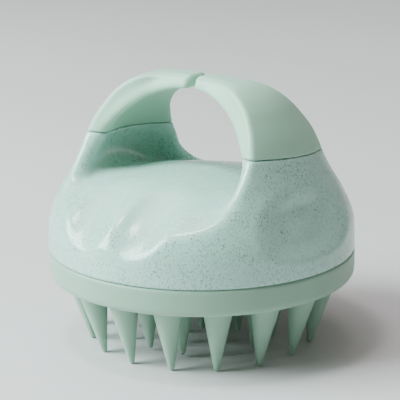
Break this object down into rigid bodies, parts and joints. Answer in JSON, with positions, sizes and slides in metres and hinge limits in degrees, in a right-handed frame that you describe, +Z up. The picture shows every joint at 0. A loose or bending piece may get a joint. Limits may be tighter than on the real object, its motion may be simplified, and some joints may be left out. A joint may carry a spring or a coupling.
{
  "type": "scalp massager brush",
  "caption": "Round handheld scalp massager: speckled hard shell with a finger tunnel under two soft-tipped arms, finger grooves, and a soft head of conical bristles that pulls off downwards.",
  "frame": {"origin": "centre of the bristle circle, on the surface the bristle tips stand on", "axes": "+Z up through the middle of the shell, the finger tunnel runs along Y with its finger grooves on the -Y side, the two arms rise at -X and +X"},
  "size_m": [0.0848, 0.0848, 0.0744],
  "materials": {
    "shell": "satin with fine straw flecks",
    "grip": "matte",
    "silicone": "matte",
    "hidden_plastic": "plain moulded"
  },
  "bodies": {
    "shell": {"main_shell": "shell"},
    "left_arm": {"left_grip": "grip", "left_grip_core": "hidden_plastic"},
    "right_arm": {"right_grip": "grip", "right_grip_core": "hidden_plastic"},
    "brush_head": {"brush_pad": "silicone", "base_plate": "hidden_plastic", "outer_bristle_1": "silicone", "outer_bristle_2": "silicone", "outer_bristle_3": "silicone", "outer_bristle_4": "silicone", "outer_bristle_5": "silicone", "outer_bristle_6": "silicone", "outer_bristle_7": "silicone", "outer_bristle_8": "silicone", "outer_bristle_9": "silicone", "outer_bristle_10": "silicone", "outer_bristle_11": "silicone", "outer_bristle_12": "silicone", "outer_bristle_13": "silicone", "outer_bristle_14": "silicone", "outer_bristle_15": "silicone", "outer_bristle_16": "silicone", "middle_bristle_1": "silicone", "middle_bristle_2": "silicone", "middle_bristle_3": "silicone", "middle_bristle_4": "silicone", "middle_bristle_5": "silicone", "middle_bristle_6": "silicone", "middle_bristle_7": "silicone", "middle_bristle_8": "silicone", "middle_bristle_9": "silicone", "middle_bristle_10": "silicone", "middle_bristle_11": "silicone", "middle_bristle_12": "silicone", "inner_bristle_1": "silicone", "inner_bristle_2": "silicone", "inner_bristle_3": "silicone", "inner_bristle_4": "silicone", "inner_bristle_5": "silicone", "inner_bristle_6": "silicone", "centre_bristle_1": "silicone"}
  },
  "joints": [
    {"name": "left_grip_flex", "type": "hinge", "parent": "shell", "child": "left_arm", "pos_m": [-0.0326, 0, 0.0561], "axis": [0, -1, 0], "range_deg": [0, 12], "stiffness_Nm_per_rad": 0.5},
    {"name": "right_grip_flex", "type": "hinge", "parent": "shell", "child": "right_arm", "pos_m": [0.0326, 0, 0.0561], "axis": [0, 1, 0], "range_deg": [0, 12], "stiffness_Nm_per_rad": 0.5},
    {"name": "head_pull_off", "type": "slide", "parent": "shell", "child": "brush_head", "axis": [0, 0, -1], "range_m": [0, 0.015]}
  ]
}
